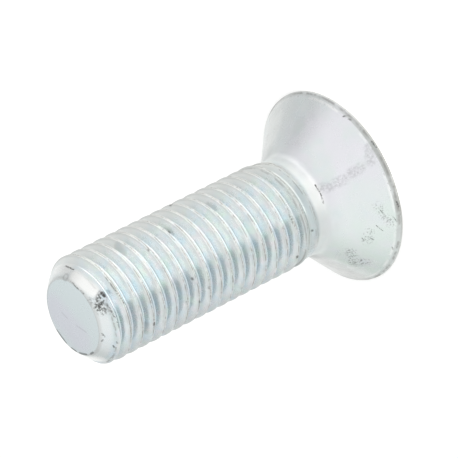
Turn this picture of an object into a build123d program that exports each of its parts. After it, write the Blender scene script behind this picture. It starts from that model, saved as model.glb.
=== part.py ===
"""Countersunk screw with a hexagon socket and a thread up to the head.

One forged and thread-rolled piece, so one solid: a flat-topped conical head
with a narrow land round its rim, a fillet into a plain neck, a right-hand
thread that grows out of the neck, and a chamfered flat tip. The socket is
sunk into the flat top of the head.

Frame: the screw stands on its head. The origin is the centre of the head's
flat top, z = 0 is the plane of that top, and +Z runs along the axis to the tip.
"""

import os
from math import ceil, cos, pi, radians, sin, tan

from build123d import *

# ---------------------------------------------------------------- sizes, mm

# Over all
length = 58.8            # head top to tip face

# Head
head_d = 35.64           # over the rim
head_rim = 0.40          # height of the cylindrical land round the rim
head_angle = 90.0        # full angle of the countersunk cone, degrees
rim_bevel = 0.12         # broken edge where the land meets the flat top
head_fillet = 2.0        # between the cone and the neck

# Drive
socket_af = 12.0         # across the flats of the hexagon
socket_depth = 5.9       # flat-sided part
socket_floor_angle = 120.0   # full angle of the conical floor, degrees
socket_mouth = 14.2      # diameter of the bevel at the head's top
socket_mouth_angle = 90.0    # full angle of that bevel, degrees

# Neck, as thick as the blank before the thread is rolled
neck_inset = 0.6         # how much deeper the neck lies than the crests
neck_length = 2.4        # from the corner of cone and neck to the first trace of thread

# Thread
thread_d = 19.6          # over the crests
pitch = 2.5
groove_depth = 0.548     # as a share of the pitch
groove_floor = 0.15      # width of the groove's flat floor, as a share of the pitch
flank_angle = 60.0       # between the two flanks, degrees
crest_rise = 3.4         # length over which the crests climb out of the neck
groove_lead = 0.3        # from the end of the neck to where the groove comes in
runout_turns = 2.0       # turns over which the groove reaches its full depth
first_crest = 1.66       # from the tip face to the first crest, on the -Y side

# Tip
tip_d = 13.9             # flat face at the end
tip_slope = 45.0         # slope of the chamfer, degrees
tip_round = 0.35         # edge between the flat face and the chamfer

# ---------------------------------------------------------------- worked out

head_r = head_d / 2
thread_r = thread_d / 2
neck_r = thread_r - neck_inset
root_r = thread_r - groove_depth * pitch
tip_r = tip_d / 2
cone_end = head_rim + (head_r - neck_r) / tan(radians(head_angle / 2))
neck_end = cone_end + neck_length
crest_full = neck_end + crest_rise
chamfer_from = length - (thread_r - tip_r) * tan(radians(tip_slope))
clear = 0.3              # how far a cutter stands off the surface it must miss


# ---------------------------------------------------------------- turned shapes

def turned(outline, rounds):
    """A solid of revolution about Z from (radius, height) points.

    rounds lists the corners to round as (radius, height, rounding).
    """
    face = make_face(Polyline(*[(x, 0, z) for x, z in outline], close=True))
    for x, z, rounding in rounds:
        corner = face.vertices().sort_by_distance((x, 0, z))[0]
        face = fillet(corner, rounding)
    return revolve(face, Axis.Z)


def head_blank():
    """The countersunk head with its fillet and the plain neck."""
    outline = [
        (0, 0),
        (head_r - rim_bevel, 0),
        (head_r, rim_bevel),
        (head_r, head_rim),
        (neck_r, cone_end),
        (neck_r, neck_end),
        (0, neck_end),
    ]
    return turned(outline, [(neck_r, cone_end, head_fillet)])


def shank_envelope():
    """What the threaded shank may not stand out of: the rising crests and the chamfered tip."""
    outline = [
        (0, neck_end),
        (neck_r, neck_end),
        (thread_r, crest_full),
        (thread_r, chamfer_from),
        (tip_r, length),
        (0, length),
    ]
    return turned(outline, [(tip_r, length, tip_round)])


# ---------------------------------------------------------------- drive

def socket():
    """The hexagonal socket with its conical floor and bevelled mouth."""
    from_low_end = (Align.CENTER, Align.CENTER, Align.MIN)
    corner_r = socket_af / 2 / cos(pi / 6)
    floor_depth = corner_r / tan(radians(socket_floor_angle / 2))
    mouth_r = socket_mouth / 2
    mouth_depth = mouth_r / tan(radians(socket_mouth_angle / 2))
    hexagon = RegularPolygon(socket_af / 2, 6, major_radius=False, rotation=30)
    cone = Pos(0, 0, socket_depth) * Cone(corner_r, 0, floor_depth, align=from_low_end)
    floor = cone & extrude(hexagon, socket_depth + floor_depth)
    mouth = Cone(mouth_r, 0, mouth_depth, align=from_low_end)
    return extrude(hexagon, socket_depth) + floor + mouth


# ---------------------------------------------------------------- thread

def groove_corner(number, lift=0.0):
    """A corner of the groove's section as (radius, height from the groove's middle).

    lift moves the section away from the axis. Corners 0 and 1 are the floor.
    """
    mouth_r = thread_r + clear
    half_floor = groove_floor * pitch / 2
    half_mouth = half_floor + (mouth_r - root_r) * tan(radians(flank_angle / 2))
    corners = [
        (root_r, -half_floor),
        (root_r, half_floor),
        (mouth_r, half_mouth),
        (mouth_r, -half_mouth),
    ]
    radius, height = corners[number]
    return radius + lift, height


def runout_rail(number):
    """The path of one corner while the groove comes in from outside the neck.

    It ends over +X with the groove's middle at height 0 and at full depth.
    """
    steps = round(24 * runout_turns)
    points = []
    for i in range(steps + 1):
        share = i / steps
        lift = (neck_r + clear - root_r) * (1 - sin(pi / 2 * share))
        radius, height = groove_corner(number, lift)
        turns = runout_turns * (share - 1)
        angle = 2 * pi * turns
        points.append((radius * cos(angle), radius * sin(angle), height + pitch * turns))
    return Spline(*points)


def full_rail(number, turn):
    """One turn of a corner's helix at full depth, the given number of turns further on."""
    radius, height = groove_corner(number)
    return Edge.make_helix(pitch, pitch, radius, center=(0, 0, height + pitch * turn))


def skins(rails):
    """The four faces between neighbouring rails."""
    return [Face.make_surface_from_curves(rails[i], rails[(i + 1) % 4]) for i in range(4)]


def section(rails, at):
    """The flat face across the rails at their start (0) or their end (1)."""
    return make_face(Polyline(*[rail @ at for rail in rails], close=True))


def groove():
    """The right-hand helical groove between the crests, as one solid to take away.

    It is built turn by turn and runs on past the tip.
    """
    full_from = neck_end + groove_lead + pitch * runout_turns
    turns = ceil((length - full_from) / pitch) + 1
    stretches = [[runout_rail(number) for number in range(4)]]
    for turn in range(turns):
        stretches.append([full_rail(number, turn) for number in range(4)])
    faces = [section(stretches[0], 0), section(stretches[-1], 1)]
    for rails in stretches:
        faces += skins(rails)
    middle_over_x = length - first_crest + 0.75 * pitch
    angle = 360 * (full_from - middle_over_x) / pitch
    return Pos(0, 0, full_from) * Rot(0, 0, angle) * Solid(Shell(faces))


def shank():
    """The threaded shank from the end of the plain neck to the tip."""
    bar = Pos(0, 0, neck_end) * Cylinder(
        thread_r, length - neck_end, align=(Align.CENTER, Align.CENTER, Align.MIN)
    )
    return (bar - groove()) & shank_envelope()


# ---------------------------------------------------------------- the screw

screw = head_blank() + shank() - socket()

os.makedirs("parts", exist_ok=True)
export_step(screw, "parts/screw.step")
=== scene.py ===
# %% [markdown]
# # A countersunk socket screw
# The real thing is one piece of steel. A blank is forged with a conical head
# and a hexagonal socket, the tip is chamfered, the thread is rolled between
# two dies, and the whole screw gets a thin bright coat of zinc. This lesson
# makes the thread, the tip, the head and the socket, joins them into one skin,
# knocks it about, plates it with zinc and lights it. The screw stands on the
# flat top of its head, with its axis on Z and the tip up.

import math

import bpy
from mathutils import Matrix, Vector


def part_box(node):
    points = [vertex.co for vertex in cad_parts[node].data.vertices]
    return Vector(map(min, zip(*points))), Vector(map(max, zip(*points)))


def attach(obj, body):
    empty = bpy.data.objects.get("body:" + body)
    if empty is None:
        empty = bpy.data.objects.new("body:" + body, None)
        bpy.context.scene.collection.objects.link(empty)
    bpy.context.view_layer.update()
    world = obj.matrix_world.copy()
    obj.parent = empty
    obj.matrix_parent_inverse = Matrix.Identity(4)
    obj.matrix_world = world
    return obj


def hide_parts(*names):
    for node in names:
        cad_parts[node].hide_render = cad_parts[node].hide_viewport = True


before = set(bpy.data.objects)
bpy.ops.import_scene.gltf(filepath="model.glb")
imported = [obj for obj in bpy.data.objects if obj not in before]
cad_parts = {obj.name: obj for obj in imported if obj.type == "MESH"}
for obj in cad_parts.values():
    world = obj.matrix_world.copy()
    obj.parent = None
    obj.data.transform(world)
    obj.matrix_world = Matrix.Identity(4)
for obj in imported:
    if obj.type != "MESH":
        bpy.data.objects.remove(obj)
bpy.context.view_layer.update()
low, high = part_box("screw")
MM = 0.001

# %% [markdown]
# ## Sizes
# Length and head width are read from the frame, so the skin can't outgrow the
# CAD. The others are the sizes of a coarse M20 thread and of the head that
# goes with it, in metres.

# %% Sizes
length = high[2] - low[2]
head_r = (high[0] - low[0]) / 2
rim_height = 0.40 * MM
crest_r = 9.80 * MM
neck_r = 9.20 * MM
pitch = 2.50 * MM
groove_depth = 0.548 * pitch
floor_width = 0.15 * pitch
root_r = crest_r - groove_depth
flank_rise = groove_depth * math.tan(math.radians(30))
crest_width = pitch - floor_width - 2 * flank_rise
cone_end = rim_height + head_r - neck_r
neck_end = cone_end + 2.4 * MM
first_crest = 1.66 * MM
tip_r = 6.95 * MM
chamfer_from = length - (crest_r - tip_r)
print("length", round(length / MM, 2), "mm, crest width", round(crest_width / MM, 3), "mm")

# %% [markdown]
# ## Working in edit mode
# Every piece is shaped as by hand: a primitive goes into edit mode, a few of
# its points are picked by where they are, and an operator acts on them. An
# operator acts on all that is selected, so these helpers first deselect
# everything and then select only what is wanted.

# %% Select by place
STEPS = 144  # facets round the axis
HAIR = 1e-6  # a point this near to a place counts as lying there
SAME = 1e-7  # points nearer to each other than this are one point


def only(piece):
    """Make this object the only one selected, and the active one."""
    bpy.ops.object.select_all(action="DESELECT")
    piece.select_set(True)
    bpy.context.view_layer.objects.active = piece


def pick(piece, wanted, what="VERT"):
    """In edit mode, select what lies where wanted(place) says, and count it."""
    bpy.ops.mesh.select_mode(type=what)
    bpy.ops.mesh.select_all(action="DESELECT")
    bpy.ops.object.mode_set(mode="OBJECT")
    mesh = piece.data
    parts = {"VERT": mesh.vertices, "EDGE": mesh.edges, "FACE": mesh.polygons}[what]
    count = 0
    for part in parts:
        if what == "VERT":
            place = part.co
        elif what == "FACE":
            place = part.center
        else:
            a, b = part.vertices
            place = (mesh.vertices[a].co + mesh.vertices[b].co) / 2
        part.select = wanted(place)
        count += part.select
    bpy.ops.object.mode_set(mode="EDIT")
    return count


print("one facet at the rim is", round(math.tau * head_r / STEPS / MM, 2), "mm wide")

# %% [markdown]
# ## Outlines
# Thread, tip and head are all round things with one outline. Each outline
# starts as a single point, which is extruded from corner to corner in the XZ
# plane, as one would draw it with the mouse. Extruding a lone point needs
# vertex select mode, which is the mode that Blender starts in.


# %% Draw an outline
def outline(name, corners):
    """A chain of edges in the XZ plane through (radius, height) corners."""
    bpy.ops.object.select_all(action="DESELECT")
    first = corners[0]
    bpy.ops.mesh.primitive_plane_add(size=MM, location=(0, 0, 0))
    piece = bpy.context.object
    piece.name = name
    bpy.ops.object.mode_set(mode="EDIT")
    bpy.ops.mesh.merge(type="CENTER")
    bpy.ops.transform.translate(value=(first[0], 0, first[1]))
    for before, after in zip(corners, corners[1:]):
        step = (after[0] - before[0], 0, after[1] - before[1])
        bpy.ops.mesh.extrude_region_move(TRANSFORM_OT_translate={"value": step})
    bpy.ops.object.mode_set(mode="OBJECT")
    print(name, "drawn with", len(piece.data.vertices), "points")
    return piece


# %% [markdown]
# ## The thread
# A thread is one short outline repeated along a helix: crest, flank, floor of
# the groove, flank. Stacked rings would look alike from afar, but no nut could
# climb them. The Screw modifier sweeps the outline turn by turn, keeps every
# turn the same and joins each to the next. The corners are rounded first,
# because rolling dies leave no sharp edge, and a rounded edge catches light.

# %% One pitch of the outline
groove_over_x = length - first_crest + 0.75 * pitch
turns = 21
start = groove_over_x - pitch * turns
seam_width = 0.17 * MM  # where the two halves of the rolled crest met
seam_depth = 0.07 * MM
middle_of_crest = start + pitch / 2
corners = [
    (root_r, start),
    (root_r, start + floor_width / 2),
    (crest_r, middle_of_crest - crest_width / 2),
    (crest_r, middle_of_crest - seam_width / 2),
    (crest_r - seam_depth, middle_of_crest),
    (crest_r, middle_of_crest + seam_width / 2),
    (crest_r, middle_of_crest + crest_width / 2),
    (root_r, start + pitch - floor_width / 2),
    (root_r, start + pitch),
]
thread = outline("thread", corners)
print("outline starts", round(start / MM, 2), "mm up")

# %% Round its corners
crest_round = 0.12 * MM
seam_round = 0.025 * MM
floor_round = 0.17 * MM
only(thread)
bpy.ops.object.mode_set(mode="EDIT")
pick(thread, lambda p: p.x > crest_r - HAIR and abs(p.z - middle_of_crest) > seam_width)
bpy.ops.mesh.bevel(offset=crest_round, segments=4, affect="VERTICES")
pick(thread, lambda p: abs(p.z - middle_of_crest) < 0.6 * seam_width)
bpy.ops.mesh.bevel(offset=seam_round, segments=2, affect="VERTICES")
pick(thread, lambda p: p.x < root_r + HAIR and start + HAIR < p.z < start + pitch - HAIR)
bpy.ops.mesh.bevel(offset=floor_round, segments=4, affect="VERTICES")
bpy.ops.object.mode_set(mode="OBJECT")
print("rounded outline has", len(thread.data.vertices), "points")


# %% Applying and healing
def apply_all(piece):
    """Apply the object's modifiers, top to bottom."""
    only(piece)
    for modifier in list(piece.modifiers):
        bpy.ops.object.modifier_apply(modifier=modifier.name)
    print(piece.name, "now has", len(piece.data.polygons), "faces")


def heal(piece):
    """Merge doubled points and turn all faces outwards."""
    bpy.ops.object.mode_set(mode="EDIT")
    bpy.ops.mesh.select_all(action="SELECT")
    bpy.ops.mesh.remove_doubles(threshold=SAME)
    bpy.ops.mesh.normals_make_consistent(inside=False)
    bpy.ops.object.mode_set(mode="OBJECT")
    print(piece.name, "healed, points", len(piece.data.vertices))


# %% Sweep it up the shank
sweep = thread.modifiers.new("sweep", "SCREW")
sweep.axis = "Z"
sweep.angle = math.tau
sweep.screw_offset = pitch
sweep.iterations = turns
sweep.steps = sweep.render_steps = STEPS
apply_all(thread)
heal(thread)
print("swept", turns, "turns of", STEPS, "steps")

# %% [markdown]
# ## The run-out
# Towards the head the dies let go: the groove gets shallow and the crests sink
# to the thickness of the blank. The Cast modifier pulls points onto a
# cylinder, and a vertex group says how strongly, so one modifier lifts the
# groove and lowers the crest at the same time.

# %% Say how far the thread has died away
crest_runout = 3.4 * MM  # height over which the crests sink
floor_runout = 5.0 * MM  # height over which the groove fills
floor_lead = 0.3 * MM  # the groove is gone a little before the crests


def radius(place):
    """Distance from the screw's axis."""
    return math.hypot(place.x, place.y)


def sunk(height, lead, run, power):
    """1 at the neck, 0 where the thread is whole."""
    left = 1 - (height - neck_end - lead) / run
    return min(1, max(0, left)) ** power


runout = thread.vertex_groups.new(name="runout")
for vertex in thread.data.vertices:
    height = vertex.co.z
    how_high = (radius(vertex.co) - root_r) / (crest_r - root_r)
    at_crest = sunk(height, 0, crest_runout, 1.0)
    at_floor = sunk(height, floor_lead, floor_runout, 2.0)
    runout.add([vertex.index], how_high * at_crest + (1 - how_high) * at_floor, "REPLACE")
print("the run-out reaches", round((floor_lead + floor_runout) / pitch, 1), "turns up the shank")

# %% Pull it onto the neck
cast = thread.modifiers.new("run-out", "CAST")
cast.cast_type = "CYLINDER"
cast.use_z = False
cast.factor = 1
cast.use_radius_as_size = False
cast.size = neck_r
cast.vertex_group = "runout"
apply_all(thread)
near_neck = [radius(v.co) for v in thread.data.vertices if v.co.z < neck_end]
print("neck radius", round(min(near_neck) / MM, 3), "to", round(max(near_neck) / MM, 3), "mm")

# %% Cut the rod to length
snap = 1e-8  # a point this near to the cut lies on it
only(thread)
bpy.ops.object.mode_set(mode="EDIT")
for height, upper in ((neck_end, False), (length, True)):
    bpy.ops.mesh.select_all(action="SELECT")
    bpy.ops.mesh.bisect(
        plane_co=(0, 0, height),
        plane_no=(0, 0, 1),
        threshold=snap,
        use_fill=True,
        clear_inner=not upper,
        clear_outer=upper,
    )
bpy.ops.object.mode_set(mode="OBJECT")
heights = [v.co.z for v in thread.data.vertices]
print("rod from", round(min(heights) / MM, 3), "to", round(max(heights) / MM, 3), "mm")

# %% [markdown]
# ## The tip
# The end of the blank is chamfered before rolling, so the thread starts
# gradually. A bevel on the finished rod would have to cross the ragged ends of
# the thread, so a turned cutter with a rounded edge trims it instead: what
# lies outside the cutter goes.


# %% Turning and trimming
def turn(piece):
    """Spin an outline round Z into a closed solid."""
    only(piece)
    bpy.ops.object.mode_set(mode="EDIT")
    bpy.ops.mesh.select_all(action="SELECT")
    bpy.ops.mesh.spin(steps=STEPS, angle=math.tau, center=(0, 0, 0), axis=(0, 0, 1))
    bpy.ops.object.mode_set(mode="OBJECT")
    heal(piece)


def cut(piece, tool, how):
    """Trim a solid with another one, and drop the tool."""
    trim = piece.modifiers.new("trim", "BOOLEAN")
    trim.object = tool
    trim.operation = how
    trim.solver = "EXACT"
    apply_all(piece)
    bpy.data.objects.remove(tool)


# A bevel on a corner takes its offset along the edges, so a fillet of a given
# radius at a corner that turns by 45 degrees has this offset per radius.
fillet_reach = math.tan(math.radians(22.5))
print("a fillet of 1 mm reaches", round(fillet_reach, 3), "mm along each edge")

# %% Chamfer the tip
tip_round = 0.35 * MM
wide = 2.0 * MM  # the cutter is this much bigger than the rod
tip_cutter = outline(
    "tip_cutter",
    [
        (0, neck_end - wide),
        (crest_r + wide, neck_end - wide),
        (crest_r + wide, chamfer_from - wide),
        (tip_r, length),
        (0, length),
    ],
)
only(tip_cutter)
bpy.ops.object.mode_set(mode="EDIT")
pick(tip_cutter, lambda p: abs(p.z - length) < HAIR and p.x > tip_r / 2)
bpy.ops.mesh.bevel(offset=tip_round * fillet_reach, segments=5, affect="VERTICES")
bpy.ops.object.mode_set(mode="OBJECT")
turn(tip_cutter)
cut(thread, tip_cutter, "INTERSECT")
print("chamfer from", round(chamfer_from / MM, 2), "mm up to a flat of radius", tip_r / MM, "mm")

# %% [markdown]
# ## The head
# A countersunk head is a cone under a flat top, with a narrow land round the
# rim so that the edge isn't sharp, and a fillet where the cone meets the neck,
# because a sharp corner there would crack. It is turned from one outline. The
# cone's long edge is divided first, so that its unevenness has points to move.

# %% Draw and turn the head and neck
rim_break = 0.10 * MM
head_fillet = 2.0 * MM
gap = 0.25 * MM  # left open between head and shank, bridged later
clear_of_ends = 2 * MM  # picks the cone's long edge and neither of its neighbours
head = outline(
    "head",
    [
        (0, 0),
        (head_r, 0),
        (head_r, rim_height),
        (neck_r, cone_end),
        (neck_r, neck_end - gap),
        (0, neck_end - gap),
    ],
)
only(head)
bpy.ops.object.mode_set(mode="EDIT")
pick(head, lambda p: p.x > head_r - HAIR)
bpy.ops.mesh.bevel(offset=rim_break, segments=3, affect="VERTICES")
pick(head, lambda p: abs(p.z - cone_end) < HAIR)
bpy.ops.mesh.bevel(offset=head_fillet * fillet_reach, segments=10, affect="VERTICES")
pick(head, lambda p: neck_r + clear_of_ends < p.x < head_r - clear_of_ends, "EDGE")
bpy.ops.mesh.subdivide(number_cuts=15)
bpy.ops.object.mode_set(mode="OBJECT")
turn(head)
print("head faces", len(head.data.polygons))

# %% [markdown]
# ## The socket
# The socket takes the hexagonal key. On the real head a punch with a pointed
# end sinks it, so its floor is a low point. An inset pushed into the flat top
# would need the round and the hexagon joined by hand, so the punch is made as
# a solid and subtracted. The mouth is left sharp.

# %% Make the punch
socket_flats = 12.0 * MM
socket_depth = 5.9 * MM
below = 1.0 * MM  # the punch starts this far outside the metal
corner_r = socket_flats / 2 / math.cos(math.pi / 6)
point = corner_r / math.tan(math.radians(60))

bpy.ops.object.select_all(action="DESELECT")
bpy.ops.mesh.primitive_cylinder_add(
    vertices=6,
    radius=corner_r,
    depth=socket_depth + below,
    location=(0, 0, (socket_depth - below) / 2),
)
punch = bpy.context.object
punch.name = "punch"
bpy.ops.object.transform_apply(location=True, rotation=True, scale=True)
bpy.ops.object.mode_set(mode="EDIT")
pick(punch, lambda p: p.z > socket_depth - HAIR, "FACE")
bpy.ops.mesh.extrude_region_move(TRANSFORM_OT_translate={"value": (0, 0, point)})
bpy.ops.mesh.merge(type="CENTER")
bpy.ops.object.mode_set(mode="OBJECT")
print("punch with a point", round(point / MM, 2), "mm long")

# %% Sink the socket
cut(head, punch, "DIFFERENCE")
print("socket", round(socket_depth / MM, 1), "mm deep, faces", len(head.data.polygons))

# %% [markdown]
# ## One skin
# The real screw has no joint between shank and head, so they become one mesh:
# the two flat ends that face each other go, and the open rims are bridged. A
# Boolean union would leave slivers where the two nearly match.

# %% Open the ends that face each other
for piece, height in ((thread, neck_end), (head, neck_end - gap)):
    only(piece)
    bpy.ops.object.mode_set(mode="EDIT")
    round_the_rim = pick(piece, lambda p: abs(p.z - height) < SAME)
    bpy.ops.mesh.delete(type="ONLY_FACE")
    bpy.ops.mesh.select_all(action="SELECT")
    bpy.ops.mesh.delete_loose(use_faces=False)
    bpy.ops.object.mode_set(mode="OBJECT")
    print(piece.name, "has", round_the_rim, "points on its end")

# %% Join shank and head
only(thread)
head.select_set(True)
bpy.ops.object.join()
screw = thread
screw.name = "screw_skin"
screw.data.name = "screw_skin"
bpy.ops.object.mode_set(mode="EDIT")
bpy.ops.mesh.select_mode(type="EDGE")
bpy.ops.mesh.select_all(action="DESELECT")
bpy.ops.mesh.select_non_manifold()
bpy.ops.mesh.bridge_edge_loops()
bpy.ops.object.mode_set(mode="OBJECT")
heal(screw)
bpy.ops.object.mode_set(mode="EDIT")
bpy.ops.mesh.select_all(action="DESELECT")
bpy.ops.mesh.select_non_manifold()
bpy.ops.object.mode_set(mode="OBJECT")
open_edges = sum(edge.select for edge in screw.data.edges)
only(screw)
bpy.ops.object.shade_smooth_by_angle(angle=math.radians(32))
print("skin faces", len(screw.data.polygons), "open edges", open_edges)

# %% [markdown]
# ## Uneven metal
# Dies and tumbling drums leave nothing perfectly true. Two Displace modifiers
# with cloud textures lower the skin by a few hundredths of a millimetre, once
# in broad swells and once in small ones. They only ever push inwards, so the
# screw doesn't grow, and the two flat ends stay flat.

# %% Broad and small unevenness
flat_top = 0.2 * MM  # this close to the ends the skin stays true
flat_tip = 0.3 * MM
forged = screw.vertex_groups.new(name="forged")
for vertex in screw.data.vertices:
    if flat_top < vertex.co.z < length - flat_tip:
        forged.add([vertex.index], 1.0, "REPLACE")
for name, size, depth in (("swells", 5.0 * MM, 0.045 * MM), ("ripples", 1.3 * MM, 0.022 * MM)):
    clouds = bpy.data.textures.new(name, "CLOUDS")
    clouds.noise_scale = size
    clouds.noise_depth = 1
    dent = screw.modifiers.new(name, "DISPLACE")
    dent.texture = clouds
    dent.strength = depth
    dent.mid_level = 1.0
    dent.vertex_group = "forged"
apply_all(screw)
only(screw)
bpy.ops.object.shade_smooth_by_angle(angle=math.radians(32))
print("uneven skin, size", [round(v / MM, 3) for v in screw.dimensions], "mm")

# %% [markdown]
# ## Knocks
# In the plating drum the screws fall on each other, and the thin crests take
# the knocks. A place on the side is given by its degrees round the screw,
# from -Y towards +X, and its height in millimetres. The points round it are
# pushed inwards, and proportional editing lets their neighbours follow.


# %% Places on the side
def on_side(degrees, up, off=None):
    """The place on the side at this angle, height and distance off the axis in millimetres."""
    up = up * MM
    if off:
        off = off * MM
    elif up > neck_end:
        off = min(crest_r, tip_r + length - up)
    else:
        off = max(neck_r, head_r - max(0, up - rim_height))
    turned = math.radians(degrees)
    return Vector((off * math.sin(turned), -off * math.cos(turned), up))


print("in front, half way up:", [round(v / MM, 2) for v in on_side(0, length / MM / 2)])

# %% Push in a few crests
knocked = ((-47, 39.2), (-38, 37.2), (27, 45.0), (78, 33.0), (-6, 17.2))
knocked += ((-42, 42.2), (10, 27.2), (-62, 29.5), (140, 35.4), (-120, 46.7))
knock_reach = 0.45 * MM
knock_depth = 0.16 * MM
only(screw)
bpy.ops.object.mode_set(mode="EDIT")
for angle, up in knocked:
    spot = on_side(angle, up)
    inwards = -Vector((spot.x, spot.y, 0)).normalized() * knock_depth
    hit = pick(screw, lambda p: (p - spot).length < knock_reach / 2)
    bpy.ops.transform.translate(
        value=inwards,
        use_proportional_edit=True,
        proportional_edit_falloff="SMOOTH",
        proportional_size=knock_reach,
    )
    print("knock at", angle, "degrees,", up, "mm up, moved", hit, "points and their neighbours")
bpy.ops.object.mode_set(mode="OBJECT")

# %% [markdown]
# ## Zinc
# Zinc plate is a thin bright metal coat with a clear passivation on it. It
# isn't one colour: the passivation shines faintly blue, green and pink in
# patches, bluer in the groove, where light is reflected twice. On the crests
# and the rim the coat is rubbed dull. A painted texture could hold all that,
# but it would need a seam and would blur close up. So the coat is one metallic
# shader, and small nodes work out its colour and gloss from the place on the
# screw, in metres. These helpers save repeating how a node is wired.

# %% The material and its wires
zinc = bpy.data.materials.new("zinc")
zinc.use_nodes = True
tree = zinc.node_tree
shader = tree.nodes["Principled BSDF"]


def wire(value, socket):
    """Set a socket to a number or a colour, or link it to another node."""
    if isinstance(value, bpy.types.NodeSocket):
        tree.links.new(value, socket)
    else:
        socket.default_value = value


print("new material", zinc.name, "with", len(tree.nodes), "nodes")


# %% Arithmetic with nodes
def calc(operation, first, second=0.0):
    """One step of arithmetic on numbers or sockets."""
    step = tree.nodes.new("ShaderNodeMath")
    step.operation = operation
    wire(first, step.inputs[0])
    wire(second, step.inputs[1])
    return step.outputs["Value"]


def vector(operation, first, second=(0, 0, 0), scale=1.0):
    """One step of arithmetic on places."""
    step = tree.nodes.new("ShaderNodeVectorMath")
    step.operation = operation
    wire(first, step.inputs[0])
    if operation == "SCALE":
        wire(scale, step.inputs["Scale"])
    else:
        wire(second, step.inputs[1])
    return step.outputs["Value" if operation in ("DOT_PRODUCT", "LENGTH") else "Vector"]


place_on_screw = tree.nodes.new("ShaderNodeTexCoord").outputs["Object"]
split = tree.nodes.new("ShaderNodeSeparateXYZ")
wire(place_on_screw, split.inputs["Vector"])
height = split.outputs["Z"]
off_axis = vector("LENGTH", vector("MULTIPLY", place_on_screw, (1, 1, 0)))
around = calc("ARCTAN2", split.outputs["X"], calc("MULTIPLY", split.outputs["Y"], -1))
print("height, distance off the axis and angle round it, nodes", len(tree.nodes))

# %% [markdown]
# ## Masks
# A mask is a number from 0 to 1 that says how much of a finish a point gets.
# Masks are multiplied to say "here and there": on the crest and in a patch.
# Cloudy noise breaks them up, because wear is never even. Each cloud is
# shifted by its own amount, so that no two of them match.


# %% Helpers for masks
def times(first, *others):
    """Multiply masks."""
    for other in others:
        first = calc("MULTIPLY", first, other)
    return first


def ramp(value, start, end, full=1.0):
    """Go smoothly from 0 at the start to a full amount at the end, up or down."""
    step = tree.nodes.new("ShaderNodeMapRange")
    step.interpolation_type = "SMOOTHSTEP"
    step.inputs["From Min"].default_value = start
    step.inputs["From Max"].default_value = end
    step.inputs["To Max"].default_value = full
    wire(value, step.inputs["Value"])
    return step.outputs["Result"]


def near(value, middle, outer, inner, full=1.0):
    """Full within the inner distance of the middle, 0 beyond the outer one."""
    return ramp(calc("ABSOLUTE", calc("SUBTRACT", value, middle)), outer, inner, full)


def noise(grain, detail=2.0, shift=0.0):
    """Cloudy noise from 0 to 1, with grains of this size in millimetres."""
    moved = tree.nodes.new("ShaderNodeMapping")
    moved.inputs["Location"].default_value = (shift, shift / 2, -shift)
    wire(place_on_screw, moved.inputs["Vector"])
    cloud = tree.nodes.new("ShaderNodeTexNoise")
    cloud.inputs["Scale"].default_value = 1 / (grain * MM)
    cloud.inputs["Detail"].default_value = detail
    wire(moved.outputs["Vector"], cloud.inputs["Vector"])
    return cloud.outputs["Fac"]


def in_radians(*degrees):
    """Angles as the nodes count them."""
    return [math.radians(angle) for angle in degrees]


print("masks can be multiplied, faded, banded and clouded")

# %% [markdown]
# ## Where things are on the thread
# The crest climbs one pitch a turn. Subtracting that climb from the height
# leaves how far a point is from the middle of its crest, the same all along
# the helix. That one number tells crest, flank and groove apart, also in the
# run-out, where the radius no longer does. One side of the thread gets a
# painted warm light, lighter than the rest, and it is duller too.

# %% How far a point is from its crest
climb = times(around, pitch / math.tau)
pitches_down = calc("SUBTRACT", calc("ADD", climb, length - first_crest), height)
pitches_down = calc("DIVIDE", pitches_down, pitch)
in_this_pitch = calc("FRACT", calc("ADD", pitches_down, 0.5))
from_crest = calc("ABSOLUTE", calc("SUBTRACT", in_this_pitch, 0.5))
print("from 0 at the crest to 0.5 in the groove, in pitches of", round(pitch / MM, 2), "mm")

# %% Crest, seam and groove
threaded = times(
    ramp(height, neck_end - 0.3 * MM, neck_end + 1 * MM),
    ramp(height, length - 1.2 * MM, length - 2 * MM),
)
half_crest = crest_width / pitch / 2
crest = times(threaded, ramp(from_crest, half_crest + 0.10, half_crest))
crest_top = times(threaded, ramp(from_crest, 0.09, 0.05))
seam_line = times(threaded, ramp(from_crest, 0.045, 0.025))
groove = times(threaded, ramp(off_axis, crest_r - 0.2 * MM, root_r + 0.3 * MM))
print("half a crest is", round(half_crest, 3), "of the pitch")

# %% Sides of the thread
runout_zone = times(ramp(height, 17 * MM, 14.5 * MM), ramp(height, 11.8 * MM, 12.6 * MM))
warm_lit_side = times(ramp(around, *in_radians(34, 72)), ramp(around, *in_radians(140, 110)))
front_side = near(around, *in_radians(30, 26, 8))
print("run-out, warm lit side and front side, nodes", len(tree.nodes))

# %% Head, rim and tip
on_head = ramp(height, neck_end, cone_end - 1 * MM)
on_rim = times(
    ramp(off_axis, head_r - 1.0 * MM, head_r - 0.6 * MM),
    ramp(height, 1.0 * MM, 0.8 * MM),
)
near_rim = times(
    ramp(off_axis, head_r - 2.6 * MM, head_r - 1.4 * MM),
    ramp(height, 1.6 * MM, 0.9 * MM),
)
lip = times(ramp(height, 0.85 * MM, 1.0 * MM), ramp(height, 1.35 * MM, 1.1 * MM))
tip_face = ramp(height, length - 0.15 * MM, length - 0.05 * MM)
tip_edge = times(
    ramp(height, length - 0.5 * MM, length - 0.15 * MM),
    ramp(off_axis, tip_r - 0.3 * MM, tip_r - 0.1 * MM),
)
print("masks ready, nodes", len(tree.nodes))

# %% [markdown]
# ## Marks from handling
# Screws knock against each other in the drum and in the bag. Each mark is a
# stroke from one place to another, given by its degrees round the screw and
# its height in millimetres, as the knocks were. How dark it is at a point
# follows from the distance to the stroke, and a fine noise breaks it into
# grains. The darkest mark at a point wins, so crossing marks don't add up.


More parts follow.
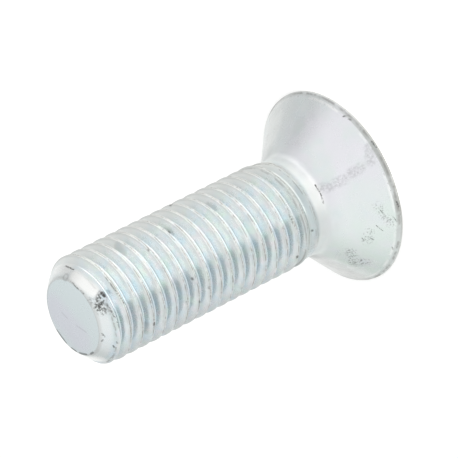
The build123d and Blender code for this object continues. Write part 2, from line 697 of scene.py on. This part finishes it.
# %% Helpers for marks
def on_tip(degrees, off):
    """The place on the tip's face at this angle and distance from the axis in millimetres."""
    turned = math.radians(degrees)
    return Vector((off * MM * math.sin(turned), -off * MM * math.cos(turned), length))


def stroke(start, end, width):
    """1 on the line between two places, falling to 0 at half the width in millimetres."""
    line = end - start
    from_start = vector("SUBTRACT", place_on_screw, start)
    along = vector("DOT_PRODUCT", from_start, line / line.length_squared)
    along = calc("MINIMUM", calc("MAXIMUM", along, 0.0), 1.0)
    nearest = vector("SCALE", line, scale=along)
    away = vector("LENGTH", vector("SUBTRACT", from_start, nearest))
    return ramp(away, width / 2 * MM, width / 6 * MM)


def strokes(*lines, width):
    """Several strokes of one width as one mask."""
    mask = 0.0
    for start, end in lines:
        mask = calc("MAXIMUM", stroke(start, end, width), mask)
    return mask


def darker(dirt, *masks):
    """Add one more kind of mark to the dirt so far."""
    return calc("MAXIMUM", dirt, times(*masks))


fine_grain = ramp(noise(0.20, 3.0, 0.7), 0.40, 0.54)
torn_grain = ramp(noise(0.35, 3.0, 1.7), 0.42, 0.56)
print("helpers for marks ready, nodes", len(tree.nodes))

# %% [markdown]
# ## Scratches
# Long scratches lie on the fillet and the chamfer, where other heads slid
# along, and a few short ones on the cone. The tip's face has only faint ones.

# %% Scratches
scratches = strokes(
    (on_side(9, 9.4), on_side(-3, 9.3)),
    (on_side(-3, 9.3), on_side(-12, 9.5)),
    (on_side(72, 57.2), on_side(56, 57.3)),
    (on_side(60, 55.7), on_side(41, 55.5)),
    width=0.42,
)
small_scratches = strokes(
    (on_side(-40, 3.4), on_side(-44, 2.6)),
    (on_side(-51, 4.0), on_side(-52, 3.6)),
    (on_side(-52, 5.0), on_side(-54, 4.7)),
    (on_side(-72, 6.2), on_side(-70, 5.7)),
    (on_side(-84, 4.5), on_side(-80, 4.2)),
    (on_side(-81, 3.6), on_side(-78, 3.5)),
    (on_side(-34, 1.3), on_side(-37, 0.9)),
    (on_side(-56, 1.2), on_side(-58, 1.0)),
    (on_side(-29, 2.7), on_side(-31, 2.5)),
    width=0.30,
)
faint_scratches = strokes(
    (on_tip(-95, 1.6), on_tip(-63, 3.6)),
    (on_tip(150, 3.0), on_tip(172, 1.8)),
    (on_side(-27, 2.9), on_side(-38, 1.7)),
    width=0.45,
)
dirt = darker(0.0, scratches, fine_grain, 0.9)
dirt = darker(dirt, small_scratches, fine_grain, 0.7)
dirt = darker(dirt, faint_scratches, 0.14)
print("scratches drawn, nodes", len(tree.nodes))

# %% [markdown]
# ## Dark spots on the edges
# Where an edge was hit, the bright coat is gone and dirt has settled: on the
# rim, round the tip's edge and on the crests that were pushed in. The first
# crests by the tip are torn a little along their edges.

# %% Spots on rim, tip and chamfer
edge_spots = strokes(
    (on_side(-25, 0.6), on_side(-28, 0.4)),
    (on_side(12, 0.5), on_side(8, 0.4)),
    (on_side(35, 1.1), on_side(34, 0.9)),
    (on_side(31, 0.9), on_side(30, 0.8)),
    (on_side(-40, 58.5), on_side(-44, 58.2)),
    (on_side(-50, 58.4), on_side(-52, 58.5)),
    (on_side(-51, 56.8), on_side(-52, 56.7)),
    (on_side(-57, 57.1), on_side(-60, 56.9)),
    (on_side(58, 55.6), on_side(55, 55.7)),
    (on_side(45, 55.4), on_side(42, 55.6)),
    (on_tip(42, 6.9), on_tip(32, 6.8)),
    width=0.46,
)
tip_nicks = strokes(
    (on_tip(-84, 6.8), on_tip(-92, 6.8)),
    (on_tip(-103, 6.8), on_tip(-120, 6.8)),
    (on_tip(-128, 6.8), on_tip(-138, 6.8)),
    (on_tip(-150, 6.8), on_tip(-174, 6.8)),
    width=0.55,
)
dirt = darker(dirt, edge_spots, fine_grain, 0.75)
dirt = darker(dirt, tip_nicks, 0.6)
print("spots on the edges, nodes", len(tree.nodes))

# %% Spots and smudges on the thread
thread_spots = strokes(
    (on_side(27, 45.1), on_side(26, 45.2)),
    (on_side(41, 38.5, 8.5), on_side(39, 38.5, 8.5)),
    (on_side(79, 33.0), on_side(77, 33.0)),
    (on_side(-49, 39.1), on_side(-47, 39.1)),
    (on_side(-38, 37.2), on_side(-37, 37.3)),
    (on_side(-41, 42.3), on_side(-43, 42.3)),
    (on_side(-48, 49.3), on_side(-46, 49.3)),
    (on_side(-21, 40.0, 9.4), on_side(-20, 40.1, 9.4)),
    (on_side(-56, 16.9), on_side(-58, 16.8)),
    width=0.72,
)
plating_speck = stroke(on_side(-36, 13.0, 9.3), on_side(-36.5, 13.0, 9.1), width=0.85)
smudges = strokes(
    (on_side(53, 48.1, 9.0), on_side(42, 47.8, 8.6)),
    (on_side(50, 28.7, 8.6), on_side(42, 28.4, 8.6)),
    (on_side(45, 38.8, 8.6), on_side(38, 38.5, 8.6)),
    (on_side(-60, 50.1, 8.7), on_side(-50, 50.3, 8.7)),
    width=2.2,
)
torn_edges = strokes(
    (on_side(-4, 57.0), on_side(-15, 56.75)),
    (on_side(-15, 56.75), on_side(-26, 56.5)),
    (on_side(-26, 56.5), on_side(-38, 56.2)),
    (on_side(21, 55.2), on_side(6, 55.0)),
    (on_side(6, 55.0), on_side(-10, 54.4)),
    (on_side(20, 55.8), on_side(4, 55.5)),
    (on_side(-4, 17.2), on_side(-16, 17.4)),
    (on_tip(50, 7.05), on_tip(44, 7.05)),
    (on_tip(28, 7.05), on_tip(22, 7.05)),
    width=0.5,
)
dirt = darker(dirt, thread_spots, 0.62)
dirt = darker(dirt, plating_speck, 0.9)
dirt = darker(dirt, smudges, 0.20)
dirt = darker(dirt, torn_edges, torn_grain, 0.55)
print("spots on the thread, nodes", len(tree.nodes))

# %% [markdown]
# ## Soot, specks and a stain
# A patch of sooty grime sits on the chamfer, a dried drop left a ring beside
# it, the cone has two clusters of fine specks, and a dull streak runs down it
# where it rubbed against something.

# %% Soot and the ring on the chamfer
soot_grain = ramp(noise(0.40, 4.0, 0.8), 0.42, 0.58)
lump_grain = ramp(noise(0.30, 3.0, 0.7), 0.34, 0.48)
soot = strokes(
    (on_side(6, 57.1), on_side(-2, 58.0)),
    (on_side(-2, 58.0), on_side(-8, 57.8)),
    width=2.6,
)
soot_lumps = strokes(
    (on_side(9, 56.9), on_side(5, 56.8)),
    (on_side(1, 57.6), on_side(-1, 57.6)),
    (on_side(-1, 58.1), on_side(-4, 57.9)),
    width=0.8,
)
smear = stroke(on_side(10, 58.5), on_side(3, 58.4), width=1.6)
from_drop = vector("LENGTH", vector("SUBTRACT", place_on_screw, on_side(63, 58.5)))
ring_stain = near(from_drop, 0.55 * MM, 0.28 * MM, 0.08 * MM)
dirt = darker(dirt, soot, soot_grain, 0.8)
dirt = darker(dirt, soot_lumps, lump_grain, 0.9)
dirt = darker(dirt, smear, soot_grain, 0.35)
dirt = darker(dirt, ring_stain, 0.22)
print("soot and ring, nodes", len(tree.nodes))

# %% Specks and the streak on the cone
speck_grain = ramp(noise(0.30, 3.0, 1.4), 0.54, 0.60)
streak_grain = ramp(noise(0.40, 4.0, 0.9), 0.26, 0.72)
speckled = strokes(
    (on_side(-70, 5.8), on_side(-84, 4.4)),
    (on_side(-84, 4.4), on_side(-76, 3.4)),
    width=3.0,
)
lightly_speckled = strokes(
    (on_side(-46, 4.2), on_side(-54, 4.4)),
    (on_side(-26, 3.0), on_side(-38, 1.6)),
    width=2.6,
)
dull_streak = strokes(
    (on_side(3, 8.8), on_side(0, 7.8)),
    (on_side(1, 6.9), on_side(0, 5.8)),
    (on_side(2, 4.6), on_side(2, 3.4)),
    (on_side(3, 1.9), on_side(10, 1.2)),
    width=2.6,
)
dirt = darker(dirt, speckled, speck_grain, 0.62)
dirt = darker(dirt, lightly_speckled, speck_grain, 0.38)
dirt = darker(dirt, dull_streak, streak_grain, 0.25)
print("specks and streak, nodes", len(tree.nodes))

# %% [markdown]
# ## Pits and grime
# The seam along a rolled crest holds dirt, in dashes rather than in one line,
# and the coat on the crests is pitted. Near the neck, where the crests didn't
# fill, two fine lines run beside each. Grime also gathers round the rim.

# %% Pits, seam dirt and rim specks
patchy = ramp(noise(2.6, 2.0, 1.0), 0.38, 0.60)
pits = times(crest_top, patchy, ramp(noise(0.26, 3.0, 1.1), 0.48, 0.60))
cleaner = times(calc("MAXIMUM", runout_zone, warm_lit_side), 0.7)
seam_dirt = times(
    seam_line, ramp(noise(1.5, 4.0, 1.2), 0.46, 0.56), calc("SUBTRACT", 1.0, cleaner)
)
runout_lines = times(
    near(from_crest, 0.17, 0.040, 0.015), runout_zone, ramp(noise(1.6, 2.0, 1.5), 0.42, 0.56)
)
rim_specks = times(near_rim, patchy, ramp(noise(0.35, 3.0, 1.3), 0.60, 0.68))
rim_line = times(
    on_rim, near(height, 0.55 * MM, 0.22 * MM, 0.06 * MM), ramp(noise(1.8, 3.0, 1.6), 0.40, 0.58)
)
print("pits and grime, nodes", len(tree.nodes))

# %% [markdown]
# ## Colour
# The colours are laid over each other like glazes, from the coat itself to
# the dirt on top of it. A metal's colour is what it reflects, so these are
# pale, and a small step between two of them already shows. In the groove a
# colour counts twice, because light bounces from flank to flank. Some glazes
# are painted light and shade: lighter or darker patches laid where the light falls.

# %% The colours
bright_zinc = (0.680, 0.705, 0.700, 1)  # untouched, as it left the bath
warm_light_zinc = (0.800, 0.800, 0.770, 1)  # painted warm light, on one side of the thread
highlight_zinc = (0.840, 0.835, 0.815, 1)  # painted highlight, on the lip and chamfer
rubbed_zinc = (0.560, 0.570, 0.560, 1)  # rubbed dull, on crests and edges
rim_zinc = (0.430, 0.440, 0.420, 1)  # worn most, on the rim
blue_film = (0.560, 0.665, 0.725, 1)  # the three shimmers of the passivation
green_film = (0.620, 0.715, 0.640, 1)
pink_film = (0.730, 0.665, 0.690, 1)
lilac_film = (0.715, 0.700, 0.730, 1)  # on the cone
groove_shade_film = (0.585, 0.655, 0.685, 1)  # painted shade in the groove, with the passivation's blue
groove_light_film = (0.655, 0.690, 0.700, 1)  # painted light, lighter in the groove on the front side
runout_film = (0.520, 0.560, 0.540, 1)  # duller, where the dies let go
last_turn_shade = (0.400, 0.470, 0.500, 1)  # painted shade under the last turn
fillet_shade_film = (0.600, 0.620, 0.640, 1)
tip_film = (0.680, 0.740, 0.745, 1)
tip_lilac = (0.690, 0.700, 0.745, 1)
pit_colour = (0.215, 0.200, 0.185, 1)
soot_colour = (0.060, 0.060, 0.055, 1)


def tint(film, amount, under):
    """Lay a colour over another by this amount."""
    mix = tree.nodes.new("ShaderNodeMix")
    mix.data_type = "RGBA"
    wire(amount, mix.inputs["Factor"])
    wire(under, mix.inputs["A"])
    wire(film, mix.inputs["B"])
    return mix.outputs["Result"]


print("zinc reflects", bright_zinc[:3], "and soot", soot_colour[:3])

# %% Groove and passivation
film_strength = calc("ADD", 0.25, times(threaded, 0.75))  # full on the thread only
blue_patches = times(film_strength, ramp(noise(2.0, 1.0), 0.44, 0.66, 0.5))
green_patches = times(film_strength, ramp(noise(2.4, 1.0, 0.1), 0.46, 0.68, 0.45))
pink_patches = times(film_strength, ramp(noise(1.5, 1.0, 0.2), 0.50, 0.68, 0.35))
# The groove is painted darker, a painted shade, besides the passivation's blue.
colour = tint(groove_shade_film, times(groove, 0.95), bright_zinc)
# On the front side the groove is painted lighter, a painted light.
colour = tint(groove_light_film, times(groove, front_side, 0.9), colour)
colour = tint(blue_film, blue_patches, colour)
colour = tint(green_film, green_patches, colour)
colour = tint(pink_film, pink_patches, colour)
print("passivation laid, nodes", len(tree.nodes))

# %% Clouds on the cone and the tip
cloudy = ramp(noise(3.5, 3.0, 0.45), 0.30, 0.62)
lilac_side = stroke(on_side(30, 5.0), on_side(-20, 5.5), width=26.0)
green_side = stroke(on_side(-45, 2.5), on_side(-75, 4.0), width=24.0)
tip_clouds = times(stroke(on_tip(150, 4.5), on_tip(-110, 3.5), width=9.0), 0.9)
tip_colour = tint(tip_lilac, tip_clouds, tip_film)
colour = tint(lilac_film, times(on_head, lilac_side, cloudy, 0.9), colour)
colour = tint(green_film, times(on_head, green_side, cloudy, 0.6), colour)
colour = tint(tip_colour, tip_face, colour)
colour = tint(rubbed_zinc, times(tip_edge, 0.8), colour)
print("clouds laid, nodes", len(tree.nodes))

# %% Rubbed crests, run-out and fillet
rubbed_crest = times(crest, ramp(noise(1.5, 3.0, 0.3), 0.35, 0.6, 0.5))
last_turn = strokes(
    (on_side(14, 12.7, 9.3), on_side(-14, 12.3, 9.3)),
    (on_side(-14, 12.3, 9.3), on_side(-44, 12.1, 9.3)),
    width=2.4,
)
fillet_side = stroke(on_side(28, 9.6), on_side(70, 9.4), width=3.4)
colour = tint(rubbed_zinc, rubbed_crest, colour)
colour = tint(runout_film, times(runout_zone, 0.6), colour)
# Painted light: one side of the thread is painted lighter and warmer, and its crests there are
# painted darker to tone down their reflection.
colour = tint(warm_light_zinc, times(threaded, warm_lit_side, 0.75), colour)
colour = tint(rubbed_zinc, times(crest, warm_lit_side, 0.6), colour)
# Painted shade under the last turn.
colour = tint(last_turn_shade, times(last_turn, 0.35), colour)
# Painted shade: one side of the fillet is painted darker and bluer to tone down its highlight.
colour = tint(fillet_shade_film, times(fillet_side, 0.5), colour)
print("crests and fillet, nodes", len(tree.nodes))

# %% Rim, lip, far side and chamfer
dull_rim = times(near(around, *in_radians(-6, 48, 22)), ramp(noise(2.4, 3.0, 0.4), 0.28, 0.5))
lip_highlight = times(lip, ramp(noise(3.0, 2.0, 0.5), 0.40, 0.6, 0.6))
far_side_shade = stroke(on_side(-112, 2.0), on_side(-122, 7.0), width=15.0)
chamfer_highlight = stroke(on_side(17, 57.6), on_side(50, 57.9), width=3.0)
chamfer_light = strokes(
    (on_side(-94, 57.4), on_side(-125, 57.4)),
    (on_side(66, 57.4), on_side(90, 57.4)),
    width=3.2,
)
colour = tint(rubbed_zinc, times(on_rim, 0.6), colour)
colour = tint(rim_zinc, times(on_rim, dull_rim, 0.8), colour)
colour = tint(pit_colour, times(rim_line, 0.5), colour)
# Painted highlights: a bright line along the lip above the rim, and bright patches on the
# chamfer.
colour = tint(highlight_zinc, lip_highlight, colour)
# Painted shade: the cone is darker on its far side.
colour = tint(rubbed_zinc, times(far_side_shade, on_head), colour)
colour = tint(highlight_zinc, chamfer_highlight, colour)
colour = tint(highlight_zinc, times(chamfer_light, 0.7), colour)
print("rim and chamfer, nodes", len(tree.nodes))

# %% Pits, painted shade and dirt on top
right_side_shade = stroke(on_side(92, 2), on_side(104, 7), width=13.0)
colour = tint(pit_colour, times(calc("MAXIMUM", pits, seam_dirt), 0.52), colour)
colour = tint(pit_colour, times(rim_specks, 0.55), colour)
colour = tint(pit_colour, times(runout_lines, 0.45), colour)
# Painted shade: the cone is darker on its right side.
colour = tint(rubbed_zinc, times(right_side_shade, on_head, 0.6), colour)
colour = tint(soot_colour, dirt, colour)
wire(colour, shader.inputs["Base Color"])
shader.inputs["Metallic"].default_value = 1.0
print("colour finished, nodes", len(tree.nodes))

# %% [markdown]
# ## Gloss and grain
# Fresh zinc is glossy but not a mirror. Where it is rubbed or dirty it is
# duller, which the shader calls rougher. A very low bump gives the coat its
# grain and lets the pits catch light. The tip's face was pressed smooth.

# %% Gloss
duller = (
    ramp(noise(2.5, 4.0, 0.5), 0.35, 0.7, 0.12),
    times(crest, 0.22),
    times(on_rim, 0.12),
    times(runout_zone, 0.06),
    times(threaded, warm_lit_side, 0.12),
    near(height, 9.6 * MM, 3.0 * MM, 1.0 * MM, 0.20),  # fillet and neck
    times(dirt, 0.30),
)
fresh_roughness = 0.19
roughness = fresh_roughness
for amount in duller:
    roughness = calc("ADD", roughness, amount)
wire(roughness, shader.inputs["Roughness"])
print("roughness from", fresh_roughness, "with", len(duller), "reasons to be duller")

# %% Grain
grain_depth = 0.0045 * MM
bumpy = calc("SUBTRACT", noise(0.7, 2.0, 0.6), times(calc("MAXIMUM", pits, dirt), 0.8))
not_on_tip = calc("SUBTRACT", 1.0, times(tip_face, 0.85))
grain = tree.nodes.new("ShaderNodeBump")
wire(1.0, grain.inputs["Strength"])
wire(grain_depth, grain.inputs["Distance"])
wire(times(bumpy, not_on_tip), grain.inputs["Height"])
wire(grain.outputs["Normal"], shader.inputs["Normal"])
print("grain", round(grain_depth / MM, 4), "mm deep, nodes", len(tree.nodes))

# %% [markdown]
# ## Handing the skin to the frame
# The screw has no moving parts, so the skin rides on the root body. It stands
# in for the one CAD node, and its finish goes to the slot of the same name.

# %% Plate the screw
screw.data.materials.clear()
screw.data.materials.append(zinc)
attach(screw, "root")
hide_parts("screw")
print(screw.name, "has", [slot.name for slot in screw.data.materials])

# %% [markdown]
# ## The studio
# A bright plated part shows best on white paper, under a tent of white cloth,
# because it reflects whatever stands round it. Bare lamps would give it small
# hard highlights and leave the rest dark. So nearly all the light comes from
# wide pale surfaces, and one soft box adds the highlights.

# %% The floor
below_screw = 0.02 * MM  # keeps the paper just clear of the head's flat top
bpy.ops.object.select_all(action="DESELECT")
bpy.ops.mesh.primitive_plane_add(size=4.0, location=(0, 0, -below_screw))
floor = bpy.context.object
floor.name = "floor"
paper = bpy.data.materials.new("paper")
paper.use_nodes = True
paper_shader = paper.node_tree.nodes["Principled BSDF"]
wire((0.80, 0.80, 0.80, 1), paper_shader.inputs["Base Color"])
wire(0.9, paper_shader.inputs["Roughness"])
wire(0.1, paper_shader.inputs["Specular IOR Level"])
wire((1, 0.96, 0.91, 1), paper_shader.inputs["Emission Color"])  # a warm lamp
floor.data.materials.append(paper)
print("floor", round(floor.dimensions.x, 1), "m wide")

# %% [markdown]
# ## The lamp under the paper
# Every flank of the thread that looks down reflects the paper, so the paper
# decides how bright the groove is. It glows as on a light table, more in front
# and on the right and less on the left, so that each side of the screw gets
# its own shade. A lamp drawn as a mesh would show as a hard shape in the metal,
# so the glow is worked out in the paper's own nodes. A wedge of it is given by
# where it starts, is full, is still full and ends, in degrees round the screw,
# then by the distances in millimetres where it is out and where it is full.

# %% Glow in wedges
glow_all_over = 0.27
wedges = (
    ((-36, -16, 36, 84), (62, 28), 0.36),
    ((-34, -16, 78, 112), (28, 62), 1.00),
    ((-130, -100, -30, -14), (46, 95), -0.27),
)
tree = paper.node_tree  # the helpers now wire the paper
place_on_paper = tree.nodes.new("ShaderNodeTexCoord").outputs["Object"]
split_paper = tree.nodes.new("ShaderNodeSeparateXYZ")
wire(place_on_paper, split_paper.inputs["Vector"])
minus_y = calc("MULTIPLY", split_paper.outputs["Y"], -1)
round_paper = calc("ARCTAN2", split_paper.outputs["X"], minus_y)
far_out = vector("LENGTH", place_on_paper)
glow = glow_all_over
for sides, (out, full), amount in wedges:
    starts, is_full, still_full, ends = in_radians(*sides)
    wedge = times(ramp(round_paper, starts, is_full), ramp(round_paper, ends, still_full))
    glow = calc("ADD", glow, times(wedge, ramp(far_out, out * MM, full * MM, amount)))
wire(glow, paper_shader.inputs["Emission Strength"])
print("the paper glows", glow_all_over, "all over and differently in", len(wedges), "wedges")

# %% [markdown]
# ## The white tent
# The cloth isn't equally bright everywhere: it is brighter high up in front
# and dimmer behind the screw on both sides, which makes the shank look round.
# The World plays the cloth: it surrounds everything and needs no mesh. Each
# patch of it is a direction, how far it reaches in degrees, and how much light
# it adds or takes away.


# %% A direction in the studio
def toward(degrees, up):
    """A direction: degrees round the screw from -Y towards +X, and degrees up."""
    turned, raised = in_radians(degrees, up)
    flat = math.cos(raised)
    return Vector((flat * math.sin(turned), -flat * math.cos(turned), math.sin(raised)))


print("straight in front is", [round(v, 2) for v in toward(0, 0)])

# %% Patches of cloth
tent_light = 1.0
cloth_colour = (0.98, 1.0, 1.01, 1)
patches = {
    "in front on the left": (-55, 45, 65, 0.18),
    "behind on the right": (116, 26, 34, -0.20),
    "behind on the left": (-160, 4, 44, -0.22),
}
world = bpy.data.worlds.new("tent")
bpy.context.scene.world = world
world.use_nodes = True
tree = world.node_tree  # the helpers now wire the World
direction = tree.nodes.new("ShaderNodeTexCoord").outputs["Generated"]
light = tent_light
for name, (degrees, up, reach, amount) in patches.items():
    facing = vector("DOT_PRODUCT", direction, toward(degrees, up))
    light = calc("ADD", ramp(facing, math.cos(math.radians(reach)), 1, amount), light)
    print("cloth", name, "adds", amount)
background = tree.nodes["Background"]
wire(light, background.inputs["Strength"])
wire(cloth_colour, background.inputs["Color"])
bpy.context.scene.view_settings.view_transform = "Standard"

# %% [markdown]
# ## The soft box
# A square lamp behind cloth, close by and high on the right, gives the metal
# its highlights. It is an area light, because metal shows a lamp's shape, and
# a point light would leave only sharp specks.

# %% Hang the soft box
box_side = 0.42
box_distance = 0.34
box_power = 0.075
middle = Vector((0, 0, length / 2))
to_box = toward(66, 42)
bpy.ops.object.light_add(type="AREA")
soft_box = bpy.context.object
soft_box.name = "soft_box"
soft_box.data.shape = "SQUARE"
soft_box.data.size = box_side
soft_box.data.energy = box_power
soft_box.visible_camera = False
soft_box.location = middle + to_box * box_distance
soft_box.rotation_euler = to_box.to_track_quat("Z", "Y").to_euler()
print("soft box at", [round(v, 3) for v in soft_box.location])

# %% [markdown]
# ## The camera
# A long lens from well away keeps the shank's sides nearly parallel. The
# camera looks down at the standing screw and is rolled over on its side, so
# that the screw lies at a slant across the frame.

# %% Camera
elevation = math.radians(32.32)
distance = 633.2 * MM
level = 30 * MM  # the height on the axis that both are measured from
aim = Vector((1.40, 0, 23.30)) * MM  # what lies in the middle of the frame
roll = math.radians(-116.75)
eye = Vector((0, -math.cos(elevation) * distance, level + math.sin(elevation) * distance))
camera_data = bpy.data.cameras.new("camera")
camera_data.lens = 291.4
camera_data.sensor_width = 36
camera_data.clip_end = 10
camera = bpy.data.objects.new("camera", camera_data)
bpy.context.scene.collection.objects.link(camera)
camera.location = eye
look = (aim - eye).to_track_quat("-Z", "Y").to_matrix()
camera.rotation_euler = (look @ Matrix.Rotation(roll, 3, "Z")).to_euler()
bpy.context.scene.camera = camera
print("camera at", [round(v, 3) for v in camera.location])
